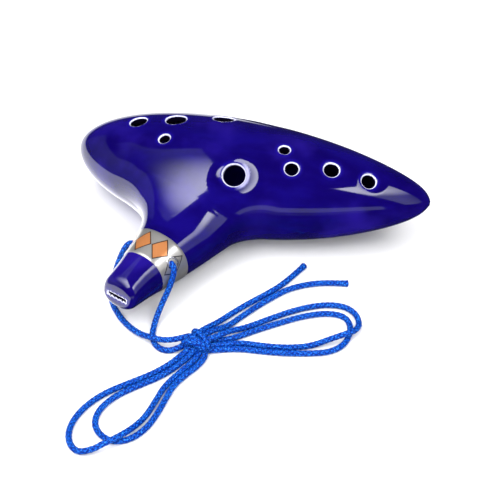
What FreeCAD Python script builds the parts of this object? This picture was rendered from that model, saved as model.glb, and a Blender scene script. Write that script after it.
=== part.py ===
"""Glazed twelve-hole ocarina with a silver neck band and a tied neck cord. Millimetres, +Z up.

Origin: the middle of the ocarina's outline, on the surface that it stands on.
+X runs along the body to its pointed tail, and the beak points towards -Y.
"""
import FreeCAD, Part
import math
import os

from FreeCAD import Placement, Rotation, Vector

# ---- body: an egg drawn out to a point, moulded as two halves that meet at the seam ----
LENGTH = 175.0
HALF_WIDTH = 31.8
HALF_HEIGHT = 25.4
WIDTH_POWERS = (0.55, 0.76)          # rise from the nose, fall to the tail
HEIGHT_POWERS = (0.51, 0.59)
NOSE = Vector(-87.5, 28.75, 23.55)   # the body's axis starts here, before bend and lift
BEND = (0.7, 17.2)                   # sideways drift of the axis: straight and squared
LIFT = (4.6, 2.8)                    # upward drift of the axis: straight and squared
TAIL_ROUND = (1.7, 9.0)              # what rounds the tail off: size, and length that it fades over
WALL = 4.6
NOSE_WALL = 5.5
TAIL_WALL = 17.0
SEAM_HEIGHT = 24.0
BODY_STATIONS = 16
RING_POINTS = 16
ROOM = 200.0                         # half the size of the boxes that cut a solid in two

# ---- finger holes: share of the length, degrees round from the far side, radius, dish ----
# A dish is a shallow round seat: radius of its ball, its own radius, and its shift along X and Y.
TOP_HOLES = (
    (0.172, 81.0, 4.0, None),          # left little finger
    (0.277, 75.0, 4.8, None),          # left ring finger
    (0.274, 105.5, 2.6, None),         # its sub-hole
    (0.401, 59.5, 5.0, None),          # left middle finger
    (0.532, 30.0, 4.6, (26.0, 9.0, 1.0, 0.0)),    # left index finger
    (0.493, 130.5, 5.2, (20.0, 6.2, 1.5, 0.3)),   # right index finger
    (0.603, 95.0, 2.5, None),          # sub-hole of the middle finger
    (0.638, 115.5, 3.1, None),         # right middle finger
    (0.739, 106.5, 3.5, (30.0, 7.6, 1.4, -1.7)),  # right ring finger
    (0.840, 112.0, 3.3, (13.0, 4.8, 1.7, -0.6)),  # right little finger
)
THUMB_HOLES = (
    (0.270, 262.0, 4.6, None),
    (0.640, 250.0, 4.4, None),
)
RIM_BREAK = 0.7

# ---- mouthpiece: neck, band and beak in a frame of its own, +Y back towards the body ----
NECK_END = Vector(-24.8, -27.2, 18.5)  # middle of the section where neck and band meet
TURN = -19.3
DIP = 1.8
BEAK_POWER = 2.3
# along the neck, half width, half height, rise and shift of the middle, swing to the body
NECK_STATIONS = (
    (-32.8, 9.2, 7.0, 0.0, 0.0, 0.0),
    (-24.0, 10.0, 8.8, 0.0, 0.0, 0.0),
    (-14.7, 11.5, 10.6, 0.0, 0.0, 0.0),
    (-7.0, 13.0, 11.8, 0.0, 0.0, 0.0),
    (0.0, 14.8, 12.8, 0.0, -0.3, 0.0),
    (7.0, 16.6, 13.4, 0.2, -0.9, 2.0),
    (14.0, 18.8, 14.0, 0.8, -0.9, 6.0),
    (20.0, 21.2, 14.7, 1.7, 0.2, 11.0),
    (26.0, 24.6, 15.2, 2.8, 1.6, 16.0),
    (35.8, 31.0, 15.6, 4.6, 1.8, 19.3),
)
LIP_ROUND = 3.0
BAND_LENGTH = 14.7
BAND_THICKNESS = 0.35
TUNNEL_AT = (-7.2, 6.3)              # along the neck, and above its axis
TUNNEL_RADIUS = 2.0
EYELET_RADIUS = 2.9
EYELET_PROUD = 0.45

# ---- voicing, in the mouthpiece's frame ----
WINDWAY_WIDTH = (10.6, 9.4)          # at the lip and at the window
WINDWAY_HEIGHT = (1.8, 1.2)
WINDWAY_RISE = (-0.2, -10.0)
WINDOW = (30.6, 36.4)                # where the windway ends, and the labium's edge
WINDOW_HALF_WIDTH = 4.7
LABIUM_RISE = -8.6
RAMP_SLOPE = 50.0

# ---- neck cord: braided, in two strands from the tunnel, tied into one bow ----
CORD = 2.8
KNOT = Vector(3.9, -63.1, 4.3)
KNOT_SIZE = (5.6, 7.0, 4.3)          # along the tied bundle, across it, and upwards
KNOT_TURN = -31.5
CORD_ROUTES = {
    "cord_right_run": (
        (-27.3, -34.2, 24.6), (-20.2, -36.8, 24.4), (-16.2, -38.5, 24.8), (-14.7, -40.1, 22.7),
        (-15.1, -42.5, 18.4), (-16.5, -45.1, 13.2), (-18.3, -48.5, 8.2), (-19.5, -53.2, 3.6),
        (-19.2, -59.6, 1.4), (-17.4, -65.6, 1.4), (-13.0, -69.8, 1.4), (-7.6, -69.9, 1.4),
        (-3.2, -66.9, 2.6), (0.2, -63.4, 4.0)),
    "cord_left_run": (
        (-27.3, -34.2, 24.6), (-34.4, -31.6, 24.4), (-38.4, -30.1, 24.4), (-41.2, -30.3, 22.4),
        (-43.3, -31.9, 17.8), (-44.8, -34.5, 12.6), (-45.6, -38.0, 7.6), (-46.0, -42.0, 3.0),
        (-44.0, -47.0, 1.4), (-38.4, -54.2, 1.4), (-31.2, -60.2, 1.4), (-23.6, -64.6, 2.4),
        (-17.4, -66.9, 4.6), (-12.0, -67.3, 4.6), (-6.6, -65.2, 4.6), (-1.8, -62.4, 5.4),
        (2.6, -61.4, 5.4)),
    "cord_outer_right_loop": (
        (6.6, -62.2, 4.8), (11.0, -57.9, 4.8), (15.0, -51.9, 3.4), (21.0, -46.0, 1.4),
        (29.6, -37.6, 1.4), (39.4, -28.6, 1.4), (50.2, -21.8, 1.4), (60.2, -19.6, 1.4),
        (67.0, -23.0, 1.4), (70.2, -29.6, 1.7), (69.8, -35.6, 3.8), (66.4, -39.8, 4.8),
        (60.4, -43.6, 3.6), (52.2, -48.8, 1.4), (42.2, -52.8, 1.4), (32.0, -54.7, 1.4),
        (22.0, -55.6, 1.4), (13.4, -59.5, 1.4), (6.6, -63.2, 1.8)),
    "cord_inner_right_loop": (
        (5.0, -60.2, 1.6), (11.2, -57.4, 1.4), (17.8, -53.8, 1.4), (25.4, -46.6, 1.4),
        (34.2, -39.2, 1.4), (43.6, -31.7, 1.4), (53.2, -26.6, 1.4), (61.6, -25.8, 1.4),
        (66.2, -30.4, 1.4), (67.4, -37.4, 1.4), (66.2, -44.4, 1.4), (61.2, -50.0, 1.4),
        (52.8, -53.3, 1.4), (42.6, -56.2, 1.4), (32.0, -58.2, 1.4), (21.8, -59.4, 1.4),
        (13.0, -62.8, 1.4), (6.8, -65.6, 1.8)),
    "cord_outer_left_loop": (
        (0.9, -66.0, 1.9), (-2.0, -71.0, 1.4), (-5.4, -78.2, 1.4), (-11.4, -86.2, 1.4),
        (-19.4, -94.0, 1.4), (-27.2, -102.2, 1.4), (-32.6, -112.0, 1.4), (-34.8, -122.4, 1.4),
        (-32.8, -131.4, 1.4), (-27.0, -136.8, 1.4), (-20.6, -134.9, 2.8), (-16.0, -131.2, 4.7),
        (-11.8, -126.6, 4.8), (-8.6, -119.6, 2.8), (-5.4, -110.8, 1.4), (-4.0, -100.8, 1.4),
        (-3.2, -90.8, 1.4), (0.8, -80.8, 1.4), (4.3, -73.2, 1.4), (6.2, -66.4, 1.9)),
    "cord_inner_left_loop": (
        (3.4, -66.0, 1.9), (1.1, -71.8, 1.4), (-2.3, -79.0, 1.4), (-7.6, -86.8, 1.4),
        (-14.6, -93.8, 1.4), (-21.6, -101.8, 1.4), (-25.9, -111.0, 1.4), (-25.4, -119.4, 1.4),
        (-20.4, -125.2, 1.4), (-13.2, -127.0, 1.4), (-6.8, -123.2, 1.4), (-2.6, -115.6, 1.4),
        (-0.9, -106.8, 1.4), (-0.2, -97.6, 1.4), (0.5, -89.0, 1.4), (4.0, -80.7, 1.4),
        (7.5, -74.2, 1.4), (9.2, -67.2, 2.0)),
    "cord_upper_end": (
        (0.8, -61.2, 5.0), (4.3, -54.3, 4.4), (7.8, -47.2, 2.0), (12.0, -39.2, 1.4),
        (18.0, -30.2, 1.4), (24.6, -21.6, 1.4), (30.6, -12.0, 1.4), (35.8, 1.4, 1.4)),
    "cord_lower_end": (
        (3.6, -61.4, 5.0), (7.7, -55.1, 4.6), (12.6, -48.8, 2.2), (16.2, -41.2, 1.4),
        (21.0, -32.9, 1.4), (26.4, -24.6, 1.4), (33.2, -15.6, 1.4), (42.4, -9.6, 1.4),
        (51.2, -6.4, 1.4), (58.8, -4.8, 1.4)),
}
BEND_SHARE = 0.45


def signed_power(value, power):
    return math.copysign(abs(value) ** power, value)


def ring_poles(power):
    """Control points of a closed cubic through a superellipse of unit size, from its lowest point."""
    on = []
    for i in range(RING_POINTS):
        around = 2 * math.pi * i / RING_POINTS - math.pi / 2
        on.append(Vector(signed_power(math.cos(around), 2 / power),
                         signed_power(math.sin(around), 2 / power), 0))
    poles = []
    for i, point in enumerate(on):
        bow = on[i - 1] + on[(i + 1) % RING_POINTS] - point * 2
        poles.append(point - bow / 6)
    return poles


def skin(stations, power):
    """Smooth surface through rings, each given as its middle, its half width and its half height."""
    shares = [i / (len(stations) - 1) for i in range(len(stations))]
    lines = []
    for part in range(3):
        line = Part.BSplineCurve()
        line.interpolate(Points=[station[part] for station in stations], Parameters=shares)
        lines.append(line)
    middles, sides, heights = (line.getPoles() for line in lines)
    grid = []
    for middle, side, height in zip(middles, sides, heights):
        grid.append([middle + side * p.x + height * p.y for p in ring_poles(power)])
    surface = Part.BSplineSurface()
    surface.buildFromPolesMultsKnots(
        grid, lines[0].getMultiplicities(), [1] * (RING_POINTS + 1),
        lines[0].getKnots(), list(range(RING_POINTS + 1)), False, True, 3, 3)
    return surface.toShape()


def solid_of(faces):
    """Closed solid of faces that share their edges, with its skin facing outwards."""
    shell = Part.Shell(faces)
    if len(faces) > 1:
        shell.sewShape()
    solid = Part.Solid(shell)
    if solid.Volume < 0:
        solid.reverse()
    return solid


def hump(share, powers):
    """Rises from nought as a power of the share, peaks at one, and falls as another power."""
    rise, fall = powers
    peak = rise / (rise + fall)
    return (share / peak) ** rise * ((1 - share) / (1 - peak)) ** fall


def body_axis(share):
    off = share - 0.5
    return NOSE + Vector(LENGTH * share, BEND[0] * off + BEND[1] * off ** 2,
                         LIFT[0] * off + LIFT[1] * off ** 2)


def blunt(share):
    """What rounds the tail off, added to the half width."""
    size, fade = TAIL_ROUND
    left = LENGTH * (1 - share)
    return size * math.sqrt(left) * math.exp(-left / fade)


def egg(nose_wall, tail_wall, wall):
    """The body's outside, or its chamber when the walls are above nought."""
    stations = []
    for i in range(BODY_STATIONS + 1):
        share = (1 - math.cos(math.pi * i / BODY_STATIONS)) / 2
        place = (nose_wall + share * (LENGTH - nose_wall - tail_wall)) / LENGTH
        extra = blunt(share) if wall == 0 else 0.0
        stations.append((
            body_axis(place),
            Vector(0, (HALF_WIDTH - wall) * hump(share, WIDTH_POWERS) + extra, 0),
            Vector(0, 0, (HALF_HEIGHT - wall) * hump(share, HEIGHT_POWERS))))
    return solid_of([skin(stations, 2.0)])


def body_point(share, degrees):
    around = math.radians(degrees)
    return body_axis(share) + Vector(
        0, HALF_WIDTH * hump(share, WIDTH_POWERS) * math.cos(around),
        HALF_HEIGHT * hump(share, HEIGHT_POWERS) * math.sin(around))


def outward(share, degrees):
    """Direction square to the body's surface."""
    step = 0.001
    along = body_point(share + step, degrees) - body_point(share - step, degrees)
    around = body_point(share, degrees + 1) - body_point(share, degrees - 1)
    normal = around.cross(along)
    if normal.dot(body_point(share, degrees) - body_axis(share)) < 0:
        normal = -normal
    return normal.normalize()


def hole_tool(share, degrees, radius, dish):
    """Cutter for a finger hole: a bore with a broken rim, in a shallow dish where it has one."""
    centre = body_point(share, degrees)
    direction = outward(share, degrees)
    ball, wide, shift_x, shift_y = dish or (0.0, 0.0, 0.0, 0.0)
    rise = math.sqrt(ball ** 2 - wide ** 2)
    shift = Vector(shift_x, shift_y, 0)
    shift = shift - direction * shift.dot(direction)
    mouth = centre - direction * (math.sqrt(ball ** 2 - shift.Length ** 2) - rise)
    tools = [
        Part.makeCylinder(radius, 4 * WALL, mouth - direction * 2.5 * WALL, direction),
        Part.makeCone(radius, radius + 2 * RIM_BREAK, 2 * RIM_BREAK, mouth - direction * RIM_BREAK, direction)]
    if dish:
        tools.append(Part.makeSphere(ball, centre + shift + direction * rise))
    return tools


def box(low, high):
    size = Vector(*high) - Vector(*low)
    return Part.makeBox(size.x, size.y, size.z, Vector(*low))


def in_neck(shape):
    """Moves a shape from the mouthpiece's own frame to where the mouthpiece is."""
    turn = Rotation(Vector(0, 0, 1), TURN) * Rotation(Vector(1, 0, 0), DIP)
    shape.Placement = Placement(NECK_END, turn) * shape.Placement
    return shape


def neck_skin(proud):
    """Mouthpiece outside, in its own frame, moved out by a small amount."""
    stations = []
    for along, half_width, half_height, rise, shift, swing in NECK_STATIONS:
        side = Rotation(Vector(0, 0, 1), swing).multVec(Vector(half_width + proud, 0, 0))
        stations.append((Vector(shift, along, rise), side, Vector(0, 0, half_height + proud)))
    face = skin(stations, BEAK_POWER)
    rims = [edge for edge in face.Edges if edge.isClosed() and edge.BoundBox.YLength < 0.01]
    caps = [Part.Face(Part.Wire([rim])) for rim in rims]
    return solid_of([face] + caps)


def ruled_prism(front, back, y_front, y_back):
    """Straight-sided bar between two upright rectangles, each given as half width, low and high."""
    wires = []
    for (half, low, high), y in ((front, y_front), (back, y_back)):
        corners = [Vector(-half, y, low), Vector(half, y, low), Vector(half, y, high), Vector(-half, y, high)]
        wires.append(Part.makePolygon(corners + corners[:1]))
    return Part.makeLoft(wires, True, True)


def windway_tool():
    """The flat tapering air channel, with a little over at each end."""
    ends = []
    for width, height, rise in zip(WINDWAY_WIDTH, WINDWAY_HEIGHT, WINDWAY_RISE):
        ends.append((width / 2, rise - height / 2, rise + height / 2))
    return ruled_prism(ends[0], ends[1], NECK_STATIONS[0][0] - 0.5, WINDOW[0] + 0.2)


def tunnel_tool(radius):
    along, above = TUNNEL_AT
    return Part.makeCylinder(radius, 60, Vector(-30, along, above), Vector(1, 0, 0))


def arc_path(points):
    """Wire of straight runs joined by tangent arcs, with its length and its arc radii."""
    points = [Vector(*p) for p in points]
    edges = []
    radii = []
    start = points[0]
    for before, corner, after in zip(points, points[1:], points[2:]):
        back = (before - corner).normalize()
        ahead = (after - corner).normalize()
        turn = math.pi - back.getAngle(ahead)
        reach = BEND_SHARE * min((before - corner).Length, (after - corner).Length)
        radius = reach / math.tan(turn / 2)
        first, last = corner + back * reach, corner + ahead * reach
        inward = (back + ahead).normalize()
        middle = corner + inward * (math.hypot(reach, radius) - radius)
        edges.append(Part.LineSegment(start, first).toShape())
        edges.append(Part.Arc(first, middle, last).toShape())
        radii.append(radius)
        start = last
    edges.append(Part.LineSegment(start, points[-1]).toShape())
    return Part.Wire(edges), radii


def cord_tube(name, points):
    path, radii = arc_path(points)
    first = path.Edges[0]
    direction = first.tangentAt(first.FirstParameter)
    circle = Part.Wire([Part.makeCircle(CORD / 2, Vector(*points[0]), direction)])
    tube = path.makePipeShell([circle], True, False)
    expected = math.pi * (CORD / 2) ** 2 * path.Length
    print(f"{name}: {path.Length:.1f} long, smallest radius {min(radii):.1f}, "
          f"volume {tube.Volume / expected:.3f} of section times length")
    return tube


def knot():
    """Flattened round knot, longest across the bundle that it ties."""
    along, across, up = KNOT_SIZE
    ball = Part.makeSphere(1.0)
    stretch = FreeCAD.Matrix(across, 0, 0, 0, 0, along, 0, 0, 0, 0, up, 0, 0, 0, 0, 1)
    shape = ball.transformGeometry(stretch)
    shape.Placement = Placement(KNOT, Rotation(Vector(0, 0, 1), KNOT_TURN))
    return shape


def shells(outside, chamber, voicing):
    """Upper and lower body halves, with their finger holes, window and resting flat."""
    wall = outside.cut(chamber)
    above = box((-ROOM, -ROOM, SEAM_HEIGHT), (ROOM, ROOM, ROOM))
    below = box((-ROOM, -ROOM, 0), (ROOM, ROOM, SEAM_HEIGHT))
    upper = wall.common(above)
    for hole in TOP_HOLES:
        upper = upper.cut(hole_tool(*hole))
    lower = wall.common(below).cut(voicing)
    for hole in THUMB_HOLES:
        lower = lower.cut(hole_tool(*hole))
    return upper, lower


def voicing_tools():
    """The window under the neck, and the ramp that leaves a sharp edge on its far side."""
    half = WINDOW_HALF_WIDTH
    drop = 30.0
    run = drop / math.tan(math.radians(RAMP_SLOPE))
    edge = Vector(-half, WINDOW[1], LABIUM_RISE)
    corners = [edge, edge + Vector(0, 0, -drop), edge + Vector(0, run, -drop), edge]
    ramp = Part.Face(Part.makePolygon(corners)).extrude(Vector(2 * half, 0, 0))
    opening = box((-half, WINDOW[0], -30), (half, WINDOW[1], 6))
    return [in_neck(opening), in_neck(ramp)]


def build():
    outside = egg(0, 0, 0)
    chamber = egg(NOSE_WALL, TAIL_WALL, WALL)
    voicing = voicing_tools()
    upper, lower = shells(outside, chamber, voicing)
    parts = {"upper_shell": upper, "lower_shell": lower}

    bare = neck_skin(0)
    lip = [edge for edge in bare.Edges if abs(edge.BoundBox.YMax - NECK_STATIONS[0][0]) < 0.01]
    bare = bare.makeFillet(LIP_ROUND, lip)
    zone = box((-ROOM, -BAND_LENGTH, -ROOM), (ROOM, 0, ROOM))
    band = bare.common(zone).cut(neck_skin(-BAND_THICKNESS))
    body = bare.cut([windway_tool(), tunnel_tool(TUNNEL_RADIUS), band])
    eyelets = {}
    for side, name in ((1, "cord_eyelet_right"), (-1, "cord_eyelet_left")):
        ring = Part.makeCylinder(EYELET_RADIUS, 30, Vector(0, *TUNNEL_AT), Vector(side, 0, 0))
        ring = ring.cut(tunnel_tool(TUNNEL_RADIUS))
        ring = ring.common(neck_skin(EYELET_PROUD)).cut(neck_skin(-BAND_THICKNESS))
        eyelets[name] = in_neck(ring)
    band = band.cut(tunnel_tool(EYELET_RADIUS))
    parts["mouthpiece"] = in_neck(body).cut(outside).cut(voicing[0])
    parts["silver_band"] = in_neck(band)
    parts.update(eyelets)

    tie = knot()
    parts["cord_knot"] = tie
    for name, points in CORD_ROUTES.items():
        parts[name] = cord_tube(name, points).cut(tie)
    return parts


def main():
    os.makedirs("parts", exist_ok=True)
    for name, shape in build().items():
        print(name, shape.isValid(), len(shape.Solids), round(shape.Volume), shape.BoundBox)
        shape.exportStep(f"parts/{name}.step")


main()
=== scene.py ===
"""Looks of the glazed ocarina: one cobalt-blue skin of glaze over the clay, a silver band with a
lozenge pattern, and a braided blue cord tied in a bow. Metres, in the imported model's frame.

The skin's shapes are worked out in millimetres and scaled as they become meshes.
"""
import math

import bpy
import numpy as np
from mathutils import Matrix


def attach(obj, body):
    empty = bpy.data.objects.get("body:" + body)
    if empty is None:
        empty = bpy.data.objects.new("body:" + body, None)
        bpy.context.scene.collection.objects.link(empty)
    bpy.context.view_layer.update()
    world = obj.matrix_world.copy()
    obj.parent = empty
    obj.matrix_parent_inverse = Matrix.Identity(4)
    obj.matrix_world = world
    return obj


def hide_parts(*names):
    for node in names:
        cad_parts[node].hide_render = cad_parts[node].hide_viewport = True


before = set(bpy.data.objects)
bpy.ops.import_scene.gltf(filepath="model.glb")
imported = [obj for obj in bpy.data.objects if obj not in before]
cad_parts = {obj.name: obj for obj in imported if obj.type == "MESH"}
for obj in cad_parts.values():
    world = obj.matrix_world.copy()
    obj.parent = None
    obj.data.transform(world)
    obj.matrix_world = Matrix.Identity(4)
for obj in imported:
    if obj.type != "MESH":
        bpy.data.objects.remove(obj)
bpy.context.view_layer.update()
MM = 0.001


# ---------------------------------------------------------------- glazed body and neck
# The body is earthenware pressed in two halves and joined with slip, and the neck is luted to its
# front. One cobalt glaze covers it all and hides the joints, so one skin runs from the tail to the
# middle of the band. Its shape is the solid model's egg, neck and holes, as distances in millimetres.
NECK_END = np.array((-24.8, -27.2, 18.5))
TO_TIP = np.array((-0.33035, -0.94334, -0.03141))
ASIDE = np.array((0.94380, -0.33051, 0.0))
UPWARD = np.array((-0.01038, -0.02965, 0.99951))
SECTION_POWER = 2.3     # of the neck's rounded-oblong section
BAND_LENGTH = 14.7
BEAK_END = 33.6
TUNNEL_ALONG, TUNNEL_ABOVE, TUNNEL_RADIUS = 7.2, 6.3, 2.0
LENGTH, HALF_WIDTH, HALF_HEIGHT = 175, 31.8, 25.4
WIDTH_POWERS = (0.55, 0.76)     # rise from the nose, fall to the tail
HEIGHT_POWERS = (0.51, 0.59)
NOSE_WALL, TAIL_WALL, WALL = 5.5, 17, 4.6
HOLE_ROUND = 1.3                # radius of the glaze's rounding at a hole's mouth
DISH_ROUND = 1.6
SHARP_ROUND = 0.8
LIP_ROUND = 3.6
LARGEST_HOLE = 5                # its place in HOLES
WINDOW_START, WINDOW_MIDDLE = -30.6, -33.5      # along the neck, under the body
WINDOW_HALF_WIDTH, WINDOW_HALF_LENGTH = 4.7, 2.9
LABIUM_START = -36.3
# share of the length, degrees round from the far side, radius, and the dish: radius of the ball
# that it is part of, its own radius, and how far it is shifted along X and Y
HOLES = (
    (0.172, 81.0, 4.0, None), (0.277, 75.0, 4.8, None), (0.274, 105.5, 2.6, None),
    (0.401, 59.5, 5.0, None), (0.532, 30.0, 4.6, (26.0, 9.0, 1.0, 0.0)),
    (0.493, 130.5, 5.2, (20.0, 6.2, 1.5, 0.3)), (0.603, 95.0, 2.5, None), (0.638, 115.5, 3.1, None),
    (0.739, 106.5, 3.5, (30.0, 7.6, 1.4, -1.7)), (0.840, 112.0, 3.3, (13.0, 4.8, 1.7, -0.6)),
    (0.270, 262.0, 4.6, None), (0.640, 250.0, 4.4, None),
)


def hump(share, rise, fall):
    """A power of share times a power of what is left, scaled so that its peak is one."""
    peak = rise / (rise + fall)
    return (share / peak) ** rise * ((1 - share) / (1 - peak)) ** fall


def blunt(share):
    """What rounds the tail off, added to the half width."""
    left = LENGTH * (1 - share)
    return 1.7 * np.sqrt(left) * np.exp(-left / 9)


def axis(share):
    """Middle of the egg at a share of its length, on a parabola each in Y and Z."""
    off = share - 0.5
    return np.stack((-LENGTH / 2 + LENGTH * share, 28.75 + 0.7 * off + 17.2 * off ** 2,
                     23.55 + 4.6 * off + 2.8 * off ** 2), -1)


def egg(p, nose_wall, tail_wall, wall):
    """Distance to the body's outside, or to its chamber when the walls are above nought."""
    length = LENGTH - nose_wall - tail_wall
    run = (p[:, 0] + LENGTH / 2 - nose_wall) / length
    share = np.clip(run, 1e-4, 1 - 1e-4)
    place = (share * length + nose_wall) / LENGTH
    middle = axis(place)
    wide = (HALF_WIDTH - wall) * hump(share, *WIDTH_POWERS)
    if wall == 0:
        wide = wide + blunt(share)
    high = (HALF_HEIGHT - wall) * hump(share, *HEIGHT_POWERS)
    y = (p[:, 1] - middle[:, 1]) / wide
    z = (p[:, 2] - middle[:, 2]) / high
    q = np.sqrt(y * y + z * z) + 1e-6
    swell_y = (WIDTH_POWERS[0] / share - WIDTH_POWERS[1] / (1 - share)) / length
    swell_z = (HEIGHT_POWERS[0] / share - HEIGHT_POWERS[1] / (1 - share)) / length
    bend_y = (0.7 + 34.4 * (place - 0.5)) / LENGTH / wide
    bend_z = (4.6 + 5.6 * (place - 0.5)) / LENGTH / high
    slope = -(y * y * swell_y + z * z * swell_z + y * bend_y + z * bend_z) / q
    near = (q - 1) / np.sqrt(slope ** 2 + (y / wide / q) ** 2 + (z / high / q) ** 2)
    beyond = (run - share) * length
    return np.where(beyond == 0, near, np.hypot(np.maximum(near, 0), beyond))


def neck_size(s):
    """Half width, half height and sideways middle of the neck, which flares to the left."""
    flare = 0.004 * np.maximum(9 - s, 0) ** 2
    fuller = 0.1 * np.maximum(s - 21, 0)
    return 14.5 - 0.2 * s + flare + fuller, 12.8 - 0.1265 * s - 0.001577 * s * s, -flare


def past_lip(s, z):
    """Distance beyond the beak's end face, which leans back a little."""
    return (s - BEAK_END + 0.26 * z) / 1.033


def neck(p):
    """Distance to the neck and beak, a tapering bar of rounded-oblong section."""
    v = p - NECK_END
    s, x, z = v @ TO_TIP, v @ ASIDE, v @ UPWARD
    wide, high, middle = neck_size(np.maximum(s, -24))
    a, b = np.abs((x - middle) / wide), np.abs(z / high)
    steep = SECTION_POWER - 1
    q = (a ** SECTION_POWER + b ** SECTION_POWER + 1e-9) ** (1 / SECTION_POWER)
    near = (q - 1) / np.hypot(a ** steep / wide, b ** steep / high) * q ** steep
    return fillet_max(np.maximum(near, -36 - s), past_lip(s, z), LIP_ROUND), s, x, z


def fillet_min(a, b, size):
    """The lesser distance, less a quarter of the overlap squared over size where they are close."""
    gap = np.maximum(size - np.abs(a - b), 0)
    return np.minimum(a, b) - gap * gap / size / 4


def fillet_max(a, b, size):
    """The greater distance, rounded in the same way."""
    return -fillet_min(-a, -b, size)


def hole_frames():
    """Centre, outward direction, radius and dish of each finger hole."""
    frames = []
    for share, degrees, radius, dish in HOLES:
        def on(t, d):
            """Point of the egg at a share of its length and degrees round from its far side."""
            wide, high = HALF_WIDTH * hump(t, *WIDTH_POWERS), HALF_HEIGHT * hump(t, *HEIGHT_POWERS)
            around = math.radians(d)
            return axis(np.float64(t)) + (0, wide * math.cos(around), high * math.sin(around))
        out = np.cross(on(share, degrees + 1) - on(share, degrees - 1),
                       on(share + 0.001, degrees) - on(share - 0.001, degrees))
        out /= np.linalg.norm(out)
        out *= np.sign(out @ (on(share, degrees) - axis(np.float64(share))))
        frames.append((on(share, degrees), out, radius, dish))
    return frames


FRAMES = hole_frames()


def clay(p):
    """Distance to the whole of the clay, with its chamber, holes, window and tunnel."""
    bar, s, x, z = neck(p)
    outer = fillet_min(egg(p, 0, 0, 0), bar, np.clip(13 - 0.1 * x + 0.6 * np.maximum(z, 0), 8, 22))
    solid = np.maximum(outer, -egg(p, NOSE_WALL, TAIL_WALL, WALL))
    for centre, out, radius, dish in FRAMES:
        v = p - centre
        along = v @ out
        reach = np.sqrt(np.maximum((v * v).sum(1) - along ** 2, 0))
        if dish:
            ball, wide, shift_x, shift_y = dish
            middle = np.array((shift_x, shift_y, 0))
            middle += out * (math.sqrt(ball ** 2 - wide ** 2) - middle @ out)
            solid = fillet_max(solid, ball - np.linalg.norm(v - middle, axis=1), DISH_ROUND)
        bore = np.maximum(reach - radius, -9 - along)
        solid = fillet_max(solid, -bore, HOLE_ROUND)
    beside = np.abs(x) - WINDOW_HALF_WIDTH
    window = np.maximum(np.maximum(beside, np.abs(s - WINDOW_MIDDLE) - WINDOW_HALF_LENGTH), z - 6)
    labium = (z + 8.6) * 0.64 - (s + 36.4) * 0.77       # the sloping cut that the breath meets
    labium = np.maximum(np.maximum(beside, s - LABIUM_START), labium)
    solid = fillet_max(solid, -np.minimum(window, labium), SHARP_ROUND)
    reach = np.hypot(s - TUNNEL_ALONG, z - TUNNEL_ABOVE)
    return fillet_max(solid, TUNNEL_RADIUS - reach, SHARP_ROUND), s


def slope_of(distance, p):
    """Gradient by central differences."""
    parts = []
    for i in range(3):
        step = np.zeros(3)
        step[i] = 0.02
        parts.append((distance(p + step) - distance(p - step)) / 0.04)
    return np.stack(parts, -1)


def surface_net(distance, low, high, cell):
    """Points and quads of the surface where distance is nought, with the points moved on to it."""
    sides = [np.arange(a, b + cell, cell) for a, b in zip(low, high)]
    size = [len(side) for side in sides]
    grid = np.stack(np.meshgrid(*sides, indexing="ij"), -1).reshape(-1, 3)
    field = np.concatenate([distance(part) for part in np.array_split(grid, 16)]).reshape(size)
    total = np.zeros([n - 1 for n in size] + [3])
    count = np.zeros([n - 1 for n in size])
    crossings = []
    for i in range(3):
        first = [slice(None)] * 3
        second = [slice(None)] * 3
        first[i], second[i] = slice(0, -1), slice(1, None)
        a, b = field[tuple(first)], field[tuple(second)]
        crossed = (a < 0) != (b < 0)
        at = np.argwhere(crossed)
        part = a[crossed] / (a[crossed] - b[crossed])
        where = at.astype(float)
        where[:, i] += part
        j, k = (i + 1) % 3, (i + 2) % 3
        around = []
        for dj, dk in ((-1, -1), (0, -1), (0, 0), (-1, 0)):
            cells = at.copy()
            cells[:, j] += dj
            cells[:, k] += dk
            around.append(cells)
            good = ((cells >= 0) & (cells < np.array(size) - 1)).all(1)
            np.add.at(total, tuple(cells[good].T), where[good])
            np.add.at(count, tuple(cells[good].T), 1)
        good = ((at[:, [j, k]] > 0) & (at[:, [j, k]] < np.array(size)[[j, k]] - 1)).all(1)
        crossings.append((np.stack(around, 1)[good], a[crossed][good] < 0))
    used = count > 0
    number = np.full(used.shape, -1)
    number[used] = np.arange(used.sum())
    points = total[used] / count[used][:, None] * cell + np.array(low)
    quads = []
    for around, outward in crossings:
        loop = number[tuple(np.moveaxis(around, -1, 0))]
        loop[~outward] = loop[~outward][:, ::-1]
        quads.append(loop)
    for _ in range(4):
        slope = slope_of(distance, points)
        steep = np.maximum((slope ** 2).sum(1), 0.2)
        move = -(distance(points) / steep)[:, None] * slope
        far = np.maximum(np.linalg.norm(move, axis=1) / (0.5 * cell), 1)
        points = points + move / far[:, None]
    slope = slope_of(distance, points)
    return points, np.concatenate(quads), slope / np.linalg.norm(slope, axis=1)[:, None]


def from_rim(p):
    """Distance out from the nearest finger hole's rim, below nought down its bore, at most 20 mm."""
    nearest = np.full(len(p), 20.0)
    for centre, out, radius, dish in FRAMES:
        v = p - centre
        along = v @ out
        sunk = 0.6 + radius ** 2 / 60
        if dish:
            ball, wide, shift_x, shift_y = dish
            sunk += math.sqrt(ball ** 2 - shift_x ** 2 - shift_y ** 2) - math.sqrt(ball ** 2 - wide ** 2)
        reach = np.sqrt(np.maximum((v * v).sum(1) - along ** 2, 0)) - radius
        reach = reach - 1.2 * np.maximum(-along - sunk, 0) * np.clip((0.5 - reach) / 0.3, 0, 1)
        nearest = np.where(along > -9, np.minimum(nearest, reach), nearest)
    return nearest


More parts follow.
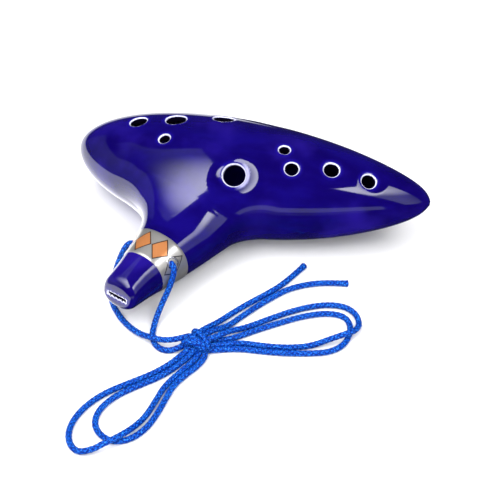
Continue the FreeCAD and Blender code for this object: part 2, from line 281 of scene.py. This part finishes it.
def painted_crescent_reflection(p):
    """Where a reflection is painted: a pale lilac crescent on the tail's side of the largest hole."""
    centre, out, radius, _ = FRAMES[LARGEST_HOLE]
    v = p - centre
    v = v - np.outer(v @ out, out)
    reach = np.linalg.norm(v, axis=1) + 1e-6
    middle = radius + 1.2
    side = v[:, 0] / reach
    return 0.7 * np.clip(1.5 - np.abs(reach - middle) / 0.9, 0, 1) * np.clip((side - 0.35) * 2.5, 0, 1)


def colour(code):
    """Linear RGBA of an sRGB colour such as "1a0a8c"."""
    parts = [int(code[i:i + 2], 16) / 255 for i in (0, 2, 4)]
    return [c / 12.92 if c <= 0.04045 else ((c + 0.055) / 1.055) ** 2.4 for c in parts] + [1.0]


def add(tree, kind, inputs=None, **settings):
    """A shader node with its settings, and its inputs set or linked."""
    made = tree.nodes.new("ShaderNode" + kind)
    for name, value in settings.items():
        setattr(made, name, value)
    for key, value in (inputs or {}).items():
        if isinstance(value, bpy.types.NodeSocket):
            tree.links.new(value, made.inputs[key])
        else:
            made.inputs[key].default_value = value
    return made


def calc(tree, operation, *values):
    """The result of one maths node."""
    return add(tree, "Math", dict(enumerate(values)), operation=operation).outputs[0]


def ramp(tree, value, low, high):
    """Nought below low, one above high, and smooth between them."""
    made = add(tree, "MapRange", {"Value": value, "From Min": low, "From Max": high},
               interpolation_type="SMOOTHSTEP")
    return made.outputs["Result"]


def blend(tree, factor, first, second):
    """Mix of two colours."""
    made = add(tree, "Mix", {0: factor, 6: first, 7: second}, data_type="RGBA")
    return made.outputs[2]


def new_material(name):
    """An empty material's tree, and its surface shader."""
    material = bpy.data.materials.new(name)
    material.use_nodes = True
    tree = material.node_tree
    return material, tree, tree.nodes["Principled BSDF"]


def make_piece(name, points, quads, material, attributes=None, normals=None):
    """A smooth mesh of points in millimetres and quads, riding on the ocarina."""
    mesh = bpy.data.meshes.new(name)
    mesh.vertices.add(len(points))
    mesh.vertices.foreach_set("co", (np.asarray(points) * MM).astype(np.float32).ravel())
    mesh.loops.add(4 * len(quads))
    mesh.loops.foreach_set("vertex_index", np.asarray(quads, np.int32).ravel())
    mesh.polygons.add(len(quads))
    mesh.polygons.foreach_set("loop_start", np.arange(0, 4 * len(quads), 4, dtype=np.int32))
    mesh.polygons.foreach_set("use_smooth", np.ones(len(quads), bool))
    mesh.update(calc_edges=True)
    for key, values in (attributes or {}).items():
        layer = mesh.attributes.new(key, "FLOAT", "POINT")
        layer.data.foreach_set("value", np.asarray(values, np.float32))
    if normals is not None:
        mesh.normals_split_custom_set_from_vertices(normals.tolist())
    mesh.materials.append(material)
    piece = bpy.data.objects.new(name, mesh)
    bpy.context.collection.objects.link(piece)
    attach(piece, "root")
    return piece


# Cobalt glaze: nearly even, with faint streaks and clouds, brighter near a hole, and worn thin to
# a pale lilac line on each rim. A painted reflection is a pale lilac crescent by the largest hole,
# and a bore is painted near black and matt, as shade.
# Streaks are about 45 by 17 mm and clouds 26 mm.
glaze, tree, shader = new_material("blue_glaze")
place = add(tree, "TexCoord").outputs["Object"]
rim = add(tree, "Attribute", attribute_name="from_rim").outputs["Fac"]
streaks = add(tree, "TexNoise", {
    "Vector": add(tree, "Mapping", {"Vector": place, "Scale": (22, 60, 60)}).outputs[0],
    "Scale": 1.0, "Detail": 4.0, "Roughness": 0.6}).outputs["Fac"]
cloud = add(tree, "TexNoise", {"Vector": place, "Scale": 38.0, "Detail": 3.0}).outputs["Fac"]
body_colour = blend(tree, ramp(tree, streaks, 0.35, 0.7), colour("08004c"), colour("0e0462"))
body_colour = blend(tree, ramp(tree, cloud, 0.45, 0.75), body_colour, colour("1c0e74"))
halo = calc(tree, "SUBTRACT", 1.0, ramp(tree, rim, 0.5, 3.0))
body_colour = blend(tree, calc(tree, "MULTIPLY", halo, 0.45), body_colour, colour("1a0e8c"))
# Painted reflection: a pale lilac crescent on the tail's side of the largest hole.
crescent_reflection = add(tree, "Attribute", attribute_name="crescent_reflection").outputs["Fac"]
body_colour = blend(tree, crescent_reflection, body_colour, colour("b4b2e4"))
edge = calc(tree, "MULTIPLY", ramp(tree, rim, -0.1, 0.15),
            calc(tree, "SUBTRACT", 1.0, ramp(tree, rim, 0.35, 0.8)))
body_colour = blend(tree, edge, body_colour, colour("e2e2fa"))
# Painted shade: down a bore and inside the windway the glaze is made near black and matt.
inside = calc(tree, "SUBTRACT", 1.0, ramp(tree, rim, -0.3, 0.1))
body_colour = blend(tree, inside, body_colour, colour("030010"))
tree.links.new(body_colour, shader.inputs["Base Color"])
tree.links.new(calc(tree, "ADD", 0.06, calc(tree, "MULTIPLY", inside, 0.7)), shader.inputs["Roughness"])
tree.links.new(calc(tree, "SUBTRACT", 0.5, calc(tree, "MULTIPLY", inside, 0.45)),
               shader.inputs["Specular IOR Level"])
shader.inputs["IOR"].default_value = 1.52

BODY_CELL = 0.85
CUT = 12.0     # where the two skins meet, along the neck, under the band


def body_side(p):
    """Distance to the clay up to the cut."""
    solid, s = clay(p)
    return np.maximum(solid, s - CUT)


points, quads, normals = surface_net(body_side, (-89.1, -45, -2), (89.1, 63.1, 50.9), BODY_CELL)
points[:, 2] = np.maximum(points[:, 2], 0)
body = make_piece("glazed_body", points, quads, glaze,
                  {"from_rim": from_rim(points), "crescent_reflection": painted_crescent_reflection(points)}, normals)
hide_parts("upper_shell", "lower_shell")

# ---------------------------------------------------------------- beak
# The beak is the neck's end, in the same clay and glaze, cut with the windway's slot. The slot's
# edges are chipped and pale, so this skin is finer. From there the windway tapers and drops to the
# window.
BEAK_CELL = 0.45
SLOT_HALF_WIDTH, SLOT_HALF_HEIGHT, SLOT_RISE = 5.0, 0.6, -0.2


def beak_side(p):
    """Distance to the neck past the cut, less the windway, which narrows and drops with share."""
    bar, s, x, z = neck(p)
    share = (BEAK_END - s) / (BEAK_END - WINDOW_START)
    slot = np.maximum(np.abs(x) - SLOT_HALF_WIDTH + 0.3 * share,
                      np.abs(z - SLOT_RISE + 9.8 * share) - SLOT_HALF_HEIGHT)
    return fillet_max(np.maximum(bar, CUT - s), -slot, 0.7)


points, quads, normals = surface_net(beak_side, (-44, -66, 4.5), (-14, -33, 33), BEAK_CELL)
v = points - NECK_END
s = v @ TO_TIP
x, z = v @ ASIDE, v @ UPWARD
beside, above = np.abs(x) - SLOT_HALF_WIDTH, np.abs(z - SLOT_RISE) - SLOT_HALF_HEIGHT
past = np.maximum(beside, above)
slot_rim = np.where(past > 0, np.hypot(np.maximum(beside, 0), np.maximum(above, 0)), past)
chipped = 0.5 * np.sin(x * 2.3) * np.sin(x * 5.1 + 1) + 0.2 * np.sin(z * 7)
# Inside the windway from_rim is set below nought, so the glaze paints it near black there as shade.
slot_rim = np.where(past_lip(s, z) > -0.55, slot_rim + chipped, np.where(past > 0.3, 20, -1))
beak = make_piece("glazed_beak", points, quads, glaze, {"from_rim": slot_rim}, normals)
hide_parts("mouthpiece")

# ---------------------------------------------------------------- silver band
# Silver lustre, brushed round the neck over the glaze and fired again, with a printed row of
# lozenges. They are set out in millimetres from the top, with the left below nought: copper as far
# as the first one right of the top, then one in outline only.
LOZENGE_PITCH = 10.0
silver, tree, shader = new_material("silver_lustre")
around = add(tree, "Attribute", attribute_name="around").outputs["Fac"]
along = add(tree, "Attribute", attribute_name="along").outputs["Fac"]
counted = calc(tree, "DIVIDE", calc(tree, "ADD", around, 10 * LOZENGE_PITCH), LOZENGE_PITCH)
cell = calc(tree, "ABSOLUTE", calc(tree, "SUBTRACT", calc(tree, "FRACT", counted), 0.5))
from_middle = calc(tree, "ABSOLUTE", calc(tree, "SUBTRACT", along, BAND_LENGTH / 2))
lozenge = calc(tree, "ADD", calc(tree, "MULTIPLY", cell, 2.0),
               calc(tree, "MULTIPLY", from_middle, 1 / 6.4))
printed = calc(tree, "LESS_THAN", around, LOZENGE_PITCH)
copper = calc(tree, "MULTIPLY", printed, calc(tree, "LESS_THAN", lozenge, 0.86))
line = calc(tree, "LESS_THAN", calc(tree, "ABSOLUTE", calc(tree, "SUBTRACT", lozenge, 0.92)), 0.06)
near_top = calc(tree, "LESS_THAN", calc(tree, "ABSOLUTE", around), 2 * LOZENGE_PITCH)
line = calc(tree, "MULTIPLY", line, near_top)
tint = blend(tree, copper, colour("b8b6b4"), colour("be7a48"))
tint = blend(tree, line, tint, colour("100c10"))
tree.links.new(tint, shader.inputs["Base Color"])
tree.links.new(calc(tree, "SUBTRACT", 0.75, calc(tree, "MAXIMUM", calc(tree, "MULTIPLY", line, 0.75),
                                                 calc(tree, "MULTIPLY", copper, 0.4))),
               shader.inputs["Metallic"])
shader.inputs["Roughness"].default_value = 0.3


def grid_quads(rows, columns, wrap_rows=False):
    """Quads of a grid of rows by columns of points whose columns close on themselves."""
    row = np.arange(rows if wrap_rows else rows - 1)[:, None]
    column = np.arange(columns)[None, :]
    ahead = (row + 1) % rows
    beside = (column + 1) % columns
    quads = np.stack(np.broadcast_arrays(
        row * columns + column, row * columns + beside,
        ahead * columns + beside, ahead * columns + column), -1)
    return quads.reshape(-1, 4)


turn = np.linspace(0, 2 * math.pi, 160, endpoint=False)
side = np.sign(np.sin(turn)) * np.abs(np.sin(turn)) ** (2 / SECTION_POWER)
rise = np.sign(np.cos(turn)) * np.abs(np.cos(turn)) ** (2 / SECTION_POWER)
rows, arcs, runs = [], [], []
steps = [(-0.05, -0.3), (0.0, 0.08)] + [(t, 0.22) for t in np.linspace(0.25, BAND_LENGTH - 0.25, 12)]
steps += [(BAND_LENGTH, 0.08), (BAND_LENGTH + 0.05, -0.3)]
for s, proud in steps:
    wide, high, middle = neck_size(s)
    ring = NECK_END + s * TO_TIP + np.outer(middle + side * (wide + proud), ASIDE)
    ring = ring + np.outer(rise * (high + proud), UPWARD)
    length = np.linalg.norm(np.roll(ring, -1, 0) - ring, axis=1)
    arc = np.concatenate(([0], np.cumsum(length)[:-1]))
    arcs.append(np.where(arc > length.sum() / 2, arc - length.sum(), arc))
    runs.append(np.full(len(turn), s))
    rows.append(ring)
band = make_piece("patterned_band", np.concatenate(rows), grid_quads(len(rows), len(turn))[:, ::-1], silver,
                  {"around": np.concatenate(arcs), "along": np.concatenate(runs)})
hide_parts("silver_band")

# ---------------------------------------------------------------- rings of the cord hole
# A small rounded ring at each mouth of the cord's tunnel, raised in the clay and covered with the
# same silver lustre as the band, a little brighter.
ring_silver, tree, shader = new_material("ring_silver")
shader.inputs["Base Color"].default_value = colour("c9c9d2")
shader.inputs["Metallic"].default_value = 1.0
shader.inputs["Roughness"].default_value = 0.22
for sign, name, node in ((1, "right_ring", "cord_eyelet_right"), (-1, "left_ring", "cord_eyelet_left")):
    big, small = np.meshgrid(np.linspace(0, 2 * math.pi, 40, endpoint=False),
                             np.linspace(0, 2 * math.pi, 12, endpoint=False), indexing="ij")
    reach = 2.45 + 0.55 * np.cos(small)
    s, z = TUNNEL_ALONG + reach * np.cos(big), TUNNEL_ABOVE + reach * np.sin(big)
    wide, high, _ = neck_size(s)
    share = 1 - np.minimum(np.abs(z) / high, 0.99) ** SECTION_POWER
    out = wide * share ** (1 / SECTION_POWER) + 0.45 * np.sin(small)
    points = NECK_END + s[..., None] * TO_TIP + sign * out[..., None] * ASIDE + z[..., None] * UPWARD
    piece = make_piece(name, points.reshape(-1, 3), grid_quads(40, 12, True), ring_silver)
    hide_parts(node)

# ---------------------------------------------------------------- cord
# One round satin braid, threaded through the tunnel and tied in a bow on the table. It is made as
# two strands along the same routes as the solid tubes, each from the tunnel through both of its
# loops to a free end.
CORD_RADIUS = 1.4
PLAITS_ROUND, PLAITS_PER_MM = 4, 0.42
JUST_ABOVE_TABLE = 0.02
RIGHT_STRAND = (
    (-27.3, -34.2, 24.6), (-20.2, -36.8, 24.4), (-16.2, -38.5, 24.8), (-14.7, -40.1, 22.7),
    (-15.1, -42.5, 18.4), (-16.5, -45.1, 13.2), (-18.3, -48.5, 8.2), (-19.5, -53.2, 3.6),
    (-19.2, -59.6, 1.4), (-17.4, -65.6, 1.4), (-13.0, -69.8, 1.4), (-7.6, -69.9, 1.4),
    (-3.2, -66.9, 2.6), (0.2, -63.4, 4.0),
    (6.6, -62.2, 4.8), (11.0, -57.9, 4.8), (15.0, -51.9, 3.4), (21.0, -46.0, 1.4),
    (29.6, -37.6, 1.4), (39.4, -28.6, 1.4), (50.2, -21.8, 1.4), (60.2, -19.6, 1.4),
    (67.0, -23.0, 1.4), (70.2, -29.6, 1.7), (69.8, -35.6, 3.8), (66.4, -39.8, 4.8),
    (60.4, -43.6, 3.6), (52.2, -48.8, 1.4), (42.2, -52.8, 1.4), (32.0, -54.7, 1.4),
    (22.0, -55.6, 1.4), (13.4, -59.5, 1.4), (6.6, -63.2, 1.8),
    (0.9, -66.0, 1.9), (-2.0, -71.0, 1.4), (-5.4, -78.2, 1.4), (-11.4, -86.2, 1.4),
    (-19.4, -94.0, 1.4), (-27.2, -102.2, 1.4), (-32.6, -112.0, 1.4), (-34.8, -122.4, 1.4),
    (-32.8, -131.4, 1.4), (-27.0, -136.8, 1.4), (-20.6, -134.9, 2.8), (-16.0, -131.2, 4.7),
    (-11.8, -126.6, 4.8), (-8.6, -119.6, 2.8), (-5.4, -110.8, 1.4), (-4.0, -100.8, 1.4),
    (-3.2, -90.8, 1.4), (0.8, -80.8, 1.4), (4.3, -73.2, 1.4), (6.2, -66.4, 1.9),
    (0.8, -61.2, 5.0), (4.3, -54.3, 4.4), (7.8, -47.2, 2.0), (12.0, -39.2, 1.4),
    (18.0, -30.2, 1.4), (24.6, -21.6, 1.4), (30.6, -12.0, 1.4), (35.8, 1.4, 1.4),
)
LEFT_STRAND = (
    (-27.3, -34.2, 24.6), (-34.4, -31.6, 24.4), (-38.4, -30.1, 24.4), (-41.2, -30.3, 22.4),
    (-43.3, -31.9, 17.8), (-44.8, -34.5, 12.6), (-45.6, -38.0, 7.6), (-46.0, -42.0, 3.0),
    (-44.0, -47.0, 1.4), (-38.4, -54.2, 1.4), (-31.2, -60.2, 1.4), (-23.6, -64.6, 2.4),
    (-17.4, -66.9, 4.6), (-12.0, -67.3, 4.6), (-6.6, -65.2, 4.6), (-1.8, -62.4, 5.4),
    (2.6, -61.4, 5.4),
    (5.0, -60.2, 1.6), (11.2, -57.4, 1.4), (17.8, -53.8, 1.4), (25.4, -46.6, 1.4),
    (34.2, -39.2, 1.4), (43.6, -31.7, 1.4), (53.2, -26.6, 1.4), (61.6, -25.8, 1.4),
    (66.2, -30.4, 1.4), (67.4, -37.4, 1.4), (66.2, -44.4, 1.4), (61.2, -50.0, 1.4),
    (52.8, -53.3, 1.4), (42.6, -56.2, 1.4), (32.0, -58.2, 1.4), (21.8, -59.4, 1.4),
    (13.0, -62.8, 1.4), (6.8, -65.6, 1.8),
    (3.4, -66.0, 1.9), (1.1, -71.8, 1.4), (-2.3, -79.0, 1.4), (-7.6, -86.8, 1.4),
    (-14.6, -93.8, 1.4), (-21.6, -101.8, 1.4), (-25.9, -111.0, 1.4), (-25.4, -119.4, 1.4),
    (-20.4, -125.2, 1.4), (-13.2, -127.0, 1.4), (-6.8, -123.2, 1.4), (-2.6, -115.6, 1.4),
    (-0.9, -106.8, 1.4), (-0.2, -97.6, 1.4), (0.5, -89.0, 1.4), (4.0, -80.7, 1.4),
    (7.5, -74.2, 1.4), (9.2, -67.2, 2.0),
    (3.6, -61.4, 5.0), (7.7, -55.1, 4.6), (12.6, -48.8, 2.2), (16.2, -41.2, 1.4),
    (21.0, -32.9, 1.4), (26.4, -24.6, 1.4), (33.2, -15.6, 1.4), (42.4, -9.6, 1.4),
    (51.2, -6.4, 1.4), (58.8, -4.8, 1.4),
)

# Dyed polyester braid: satin, a plait each 2.4 mm with painted shade in the gaps, and 0.5 mm painted
# glints.
cloth, tree, shader = new_material("braided_cord")
around = add(tree, "Attribute", attribute_name="around").outputs["Fac"]
along = add(tree, "Attribute", attribute_name="along").outputs["Fac"]
by_turn = calc(tree, "MULTIPLY", around, PLAITS_ROUND)
by_length = calc(tree, "MULTIPLY", along, PLAITS_PER_MM)
left = calc(tree, "FRACT", calc(tree, "ADD", by_turn, by_length))
right = calc(tree, "FRACT", calc(tree, "SUBTRACT", by_turn, by_length))
weave = calc(tree, "MULTIPLY", calc(tree, "ABSOLUTE", calc(tree, "SUBTRACT", left, 0.5)),
             calc(tree, "ABSOLUTE", calc(tree, "SUBTRACT", right, 0.5)))
# Painted shade: the gaps between plaits are made dark blue and the plaits the cord's own blue.
unshaded_plait = ramp(tree, weave, 0.01, 0.18)
# Painted glints: 0.5 mm specks of pale blue where the noise is high, standing for light off single threads.
painted_glint = add(tree, "TexNoise", {
    "Vector": add(tree, "TexCoord").outputs["Object"], "Scale": 2200.0, "Detail": 1.0}).outputs["Fac"]
tint = blend(tree, unshaded_plait, colour("001c70"), colour("034ec2"))
tint = blend(tree, ramp(tree, painted_glint, 0.58, 0.66), tint, colour("3690f6"))
tree.links.new(tint, shader.inputs["Base Color"])
shader.inputs["Roughness"].default_value = 0.5
shader.inputs["Specular IOR Level"].default_value = 0.1
bump = add(tree, "Bump", {"Strength": 0.6, "Distance": 0.0002, "Height": weave})
tree.links.new(bump.outputs[0], shader.inputs["Normal"])


def smooth_route(points):
    """The line of the NURBS spline that has the route's points as its control points, in mm."""
    curve = bpy.data.curves.new("route", "CURVE")
    curve.dimensions = "3D"
    curve.resolution_u = 16
    spline = curve.splines.new("NURBS")
    spline.points.add(len(points) - 1)
    for point, place in zip(spline.points, points):
        point.co = (*[c * MM for c in place], 1.0)
    spline.order_u = 3
    spline.use_endpoint_u = True
    route = bpy.data.objects.new("route", curve)
    line = bpy.data.meshes.new_from_object(route)
    found = np.array([v.co for v in line.vertices]) / MM
    bpy.data.objects.remove(route)
    bpy.data.meshes.remove(line)
    return found


def even(line, step, closed=False):
    """The line's points spaced evenly."""
    if closed:
        line = np.concatenate((line, line[:1]))
    run = np.concatenate(([0], np.cumsum(np.linalg.norm(np.diff(line, axis=0), axis=1))))
    at = np.linspace(0, run[-1], int(run[-1] / step) + 1)
    if closed:
        at = at[:-1]
    return np.stack([np.interp(at, run, line[:, i]) for i in range(3)], -1), at


def braid(line, radius, closed=False, step=0.45, sides=20):
    """Points, quads, and places along and around, of a tube whose surface is plaited."""
    line, run = even(line, step, closed)
    if closed:
        ahead = np.roll(line, -1, 0) - np.roll(line, 1, 0)
    else:
        ahead = np.gradient(line, axis=0)
    ahead /= np.linalg.norm(ahead, axis=1)[:, None]
    across = np.cross(ahead, (0.05, 0.03, 1.0))
    across /= np.linalg.norm(across, axis=1)[:, None]
    above = np.cross(across, ahead)
    turn = np.linspace(0, 1, sides, endpoint=False)
    by_turn, by_length = turn[None, :] * PLAITS_ROUND, run[:, None] * PLAITS_PER_MM
    left, right = (by_turn + by_length) % 1 - 0.5, (by_turn - by_length) % 1 - 0.5
    thick = radius * (0.93 + 0.6 * np.abs(left * right))
    if not closed:
        edge = np.clip(np.minimum(run, run[-1] - run) / 0.6, 0.02, 1)
        frayed = 1 + 0.3 * np.exp((run - run[-1]) / 1.6)
        thick = thick * (frayed * np.sqrt(edge * (2 - edge)))[:, None]
    angle = turn * 2 * math.pi
    points = (line[:, None] + thick[..., None] * (np.cos(angle)[None, :, None] * across[:, None]
                                                  + np.sin(angle)[None, :, None] * above[:, None]))
    shape = thick.shape
    return (points.reshape(-1, 3), grid_quads(len(line), sides, closed),
            np.broadcast_to(run[:, None], shape).ravel(), np.broadcast_to(turn[None, :], shape).ravel())


# The knot is two wide turns of the cord round the bundle and one that tucks in between them.
KNOT = np.array((3.9, -63.1, 4.3))
BUNDLE = np.array((0.52, 0.85, 0.0)) / math.hypot(0.52, 0.85)
ACROSS = np.array((0.85, -0.52, 0.0)) / math.hypot(0.52, 0.85)
turn = np.linspace(0, 2 * math.pi, 80, endpoint=False)
parts = []
for shift, wide, high, tilt in ((-1.9, 5.3, 2.9, 0.12), (1.6, 5.5, 2.9, -0.1), (-3.9, 3.6, 2.2, 0.5)):
    loop = (KNOT + np.outer(wide * np.cos(turn), ACROSS) + np.outer(high * np.sin(turn), (0, 0, 1))
            + np.outer(shift + tilt * wide * np.cos(turn), BUNDLE))
    parts.append(braid(loop, 1.5, True))
start = np.cumsum([0] + [len(part[0]) for part in parts])
points = np.concatenate([part[0] for part in parts])
points[:, 2] = np.maximum(points[:, 2], JUST_ABOVE_TABLE)
quads = np.concatenate([part[1] + first for part, first in zip(parts, start)])
knot = make_piece("wrapped_knot", points, quads, cloth,
                  {"along": np.concatenate([part[2] for part in parts]),
                   "around": np.concatenate([part[3] for part in parts])})
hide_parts("cord_knot")

STRANDS = (
    ("right_strand", RIGHT_STRAND, (-16.6, -37.9, 24.6), 0.4735,
     ("cord_right_run", "cord_outer_right_loop", "cord_outer_left_loop", "cord_upper_end"), [knot]),
    ("left_strand", LEFT_STRAND, (-37.9, -30.5, 24.6), 0.477,
     ("cord_left_run", "cord_inner_right_loop", "cord_inner_left_loop", "cord_lower_end"), []),
)
for name, route, mouth, length, nodes, others in STRANDS:
    line = smooth_route(route)
    points, quads, run, share = braid(line, CORD_RADIUS)
    points[:, 2] = np.maximum(points[:, 2], JUST_ABOVE_TABLE)
    strand = make_piece(name, points, quads, cloth, {"along": run, "around": share})
    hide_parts(*nodes)

# ---------------------------------------------------------------- stage
# White table, a glowing white card lying on it at the left that only shows in mirrors, and soft
# boxes whose faces fade, so that the glaze mirrors them as it would in a small product studio.
def staged_plane(name, wide, high, material):
    """A flat rectangle facing its own Z that isn't part of the object."""
    x, y = wide / 2, high / 2
    mesh = bpy.data.meshes.new(name)
    mesh.from_pydata([(-x, -y, 0), (x, -y, 0), (x, y, 0), (-x, y, 0)], [], [(0, 1, 2, 3)])
    layer = mesh.uv_layers.new(name="plane")
    layer.data.foreach_set("uv", (0, 0, 1, 0, 1, 1, 0, 1))
    mesh.materials.append(material)
    plane = bpy.data.objects.new(name, mesh)
    bpy.context.collection.objects.link(plane)
    return plane


def glow(name, bright, side, rise):
    """Emission that fades across the plane and up it, each given as start, end and lowest share."""
    material, tree, shader = new_material(name)
    split = add(tree, "SeparateXYZ", {0: add(tree, "TexCoord").outputs["UV"]})
    strength = bright
    for socket, (start, end, least) in zip(split.outputs, (side, rise)):
        fade = ramp(tree, socket, start, end)
        share = calc(tree, "MULTIPLY_ADD", fade, 1 - least, least)
        strength = calc(tree, "MULTIPLY", share, strength)
    shader.inputs["Base Color"].default_value = colour("000000")
    shader.inputs["Specular IOR Level"].default_value = 0.0
    shader.inputs["Emission Color"].default_value = colour("ffffff")
    tree.links.new(strength, shader.inputs["Emission Strength"])
    return material


paper, tree, shader = new_material("white_table")
shader.inputs["Base Color"].default_value = colour("f0f0f2")
shader.inputs["Roughness"].default_value = 0.8
floor = staged_plane("table", 8, 8, paper)
floor.visible_glossy = False
card_glow = glow("card_glow", 3.2, (0.0, 0.4, 0.6), (1.0, 0.6, 0.4))
card = staged_plane("left_card", 0.32, 1.1, card_glow)
card.location = (-0.2, -0.25, 0.0005)
card.visible_camera = card.visible_diffuse = card.visible_shadow = False

# Each box: degrees round from the player (left is below nought), degrees up, distance, width,
# height, and how bright its face is and fades.
BOXES = (
    ("left_box", -66.0, 55.0, 1.2, 1.45, 1.02, 9.0, (0.12, 0.6, 0.05), (0.05, 0.85, 0.04)),
    ("left_wall", -82.0, 14.0, 1.2, 1.7, 0.68, 0.4, (0.0, 0.7, 0.4), (0.0, 1.0, 0.6)),
    ("right_box", 74.0, 38.0, 1.2, 0.84, 1.1, 10.0, (1.0, 0.2, 0.5), (0.55, 0.85, 0.12)),
    ("front_strip", 20.0, 3.5, 1.2, 1.0, 0.26, 0.9, (0.0, 0.2, 0.5), (0.0, 0.1, 0.5)),
    ("low_strip", 14.0, -7.0, 0.9, 0.8, 0.05, 0.4, (0.0, 0.2, 0.5), (0.0, 0.1, 0.5)),
)
for name, turned, raised, away, wide, high, bright, side, rise in BOXES:
    box = staged_plane(name, wide, high, glow(name + "_glow", bright, side, rise))
    turned, raised = math.radians(turned), math.radians(raised)
    box.location = (away * math.sin(turned) * math.cos(raised), -away * math.cos(turned) * math.cos(raised),
                    away * math.sin(raised))
    box.rotation_euler = (math.pi / 2 - raised, 0, turned)
    box.visible_camera = False

# Two lamps light the table evenly, from above and behind and from in front; neither is mirrored.
for name, energy, place, lean in (("fill", 28.5, (0.1, 0.45, 1.7), -0.26),
                                  ("front_fill", 33.0, (0.1, -1.5, 1.1), 0.94)):
    light = bpy.data.lights.new(name, "AREA")
    light.shape = "RECTANGLE"
    light.size, light.size_y, light.energy = 2.4, 1.8, energy
    fill = bpy.data.objects.new(name, light)
    fill.location = place
    fill.rotation_euler = (lean, 0, 0)
    fill.visible_glossy = False
    bpy.context.collection.objects.link(fill)

world = bpy.data.worlds.new("studio")
world.use_nodes = True
world.node_tree.nodes["Background"].inputs["Color"].default_value = colour("ffffff")
world.node_tree.nodes["Background"].inputs["Strength"].default_value = 0.03
bpy.context.scene.world = world

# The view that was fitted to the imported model, in its frame.
lens = bpy.data.cameras.new("view")
lens.lens = 118.02
camera = bpy.data.objects.new("view", lens)
camera.matrix_world = Matrix((
    (0.95808, -0.19624, 0.20874, 0.17164), (0.28650, 0.65624, -0.69805, -0.54352),
    (0.0, 0.72859, 0.68495, 0.53863), (0, 0, 0, 1)))
bpy.context.collection.objects.link(camera)
bpy.context.scene.camera = camera
bpy.context.scene.view_settings.view_transform = "Standard"
